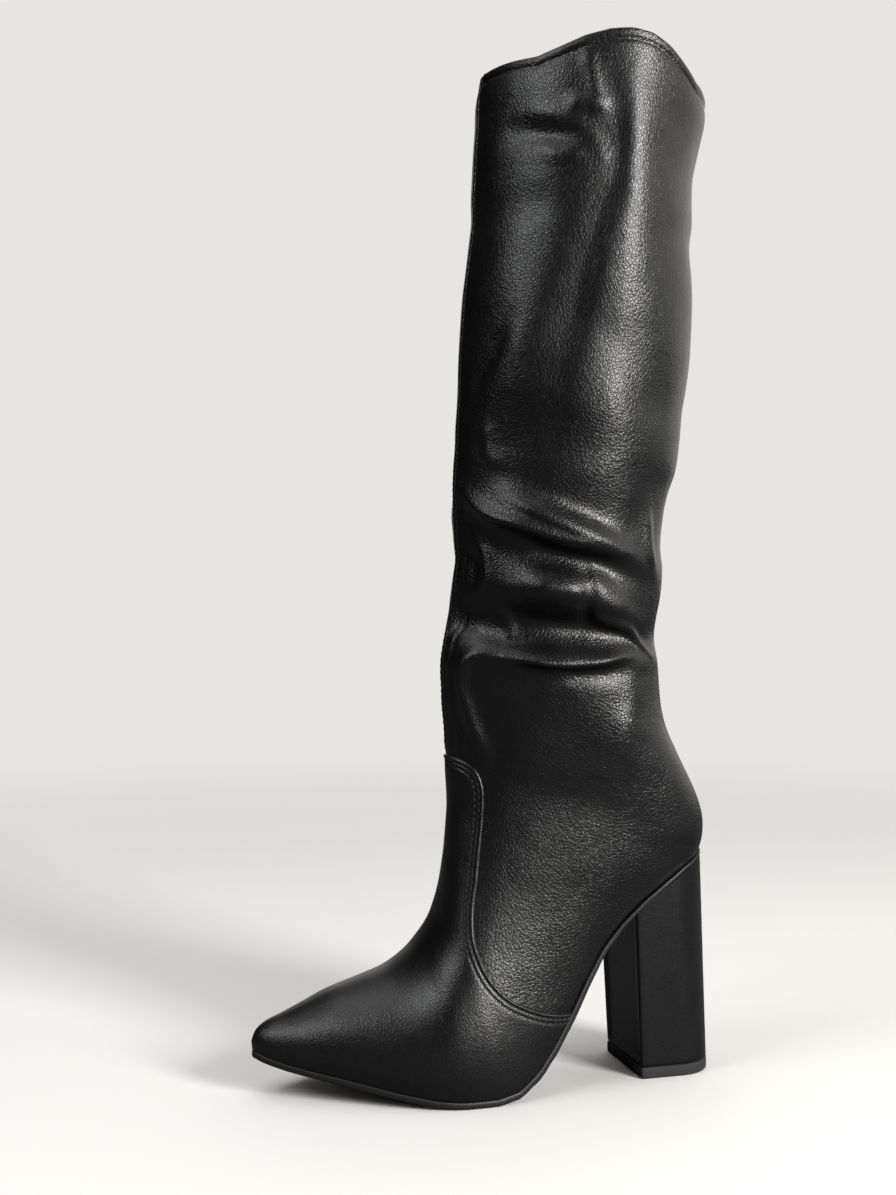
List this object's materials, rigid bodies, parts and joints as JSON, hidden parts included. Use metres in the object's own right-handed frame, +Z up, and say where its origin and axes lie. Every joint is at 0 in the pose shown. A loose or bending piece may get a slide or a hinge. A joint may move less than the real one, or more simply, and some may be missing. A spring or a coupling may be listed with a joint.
{
  "type": "knee-high boot",
  "caption": "Knee-high pull-on boot with a pointed toe, slouched leg, curved topline, stitched vamp seam, thin sole and a tall block heel.",
  "frame": {"origin": "middle of the boot's box at the floor, under the sole", "axes": "+Z up along the leg, -Y towards the toe, +X towards the outer side of the foot"},
  "size_m": [0.1148, 0.2222, 0.4839],
  "materials": {
    "upper_leather": "semi-gloss fine grain, black",
    "vamp_leather": "semi-gloss fine grain, black",
    "sole_rubber": "matt, near black",
    "insole_lining": "matt dark cloth",
    "heel_cover": "semi-gloss fine grain over a hard block, black",
    "top_piece_rubber": "matt, near black"
  },
  "bodies": {
    "root": {"upper": "upper_leather", "vamp": "vamp_leather", "outsole": "sole_rubber", "insole": "insole_lining", "heel": "heel_cover", "heel_top_piece": "top_piece_rubber"}
  },
  "joints": []
}
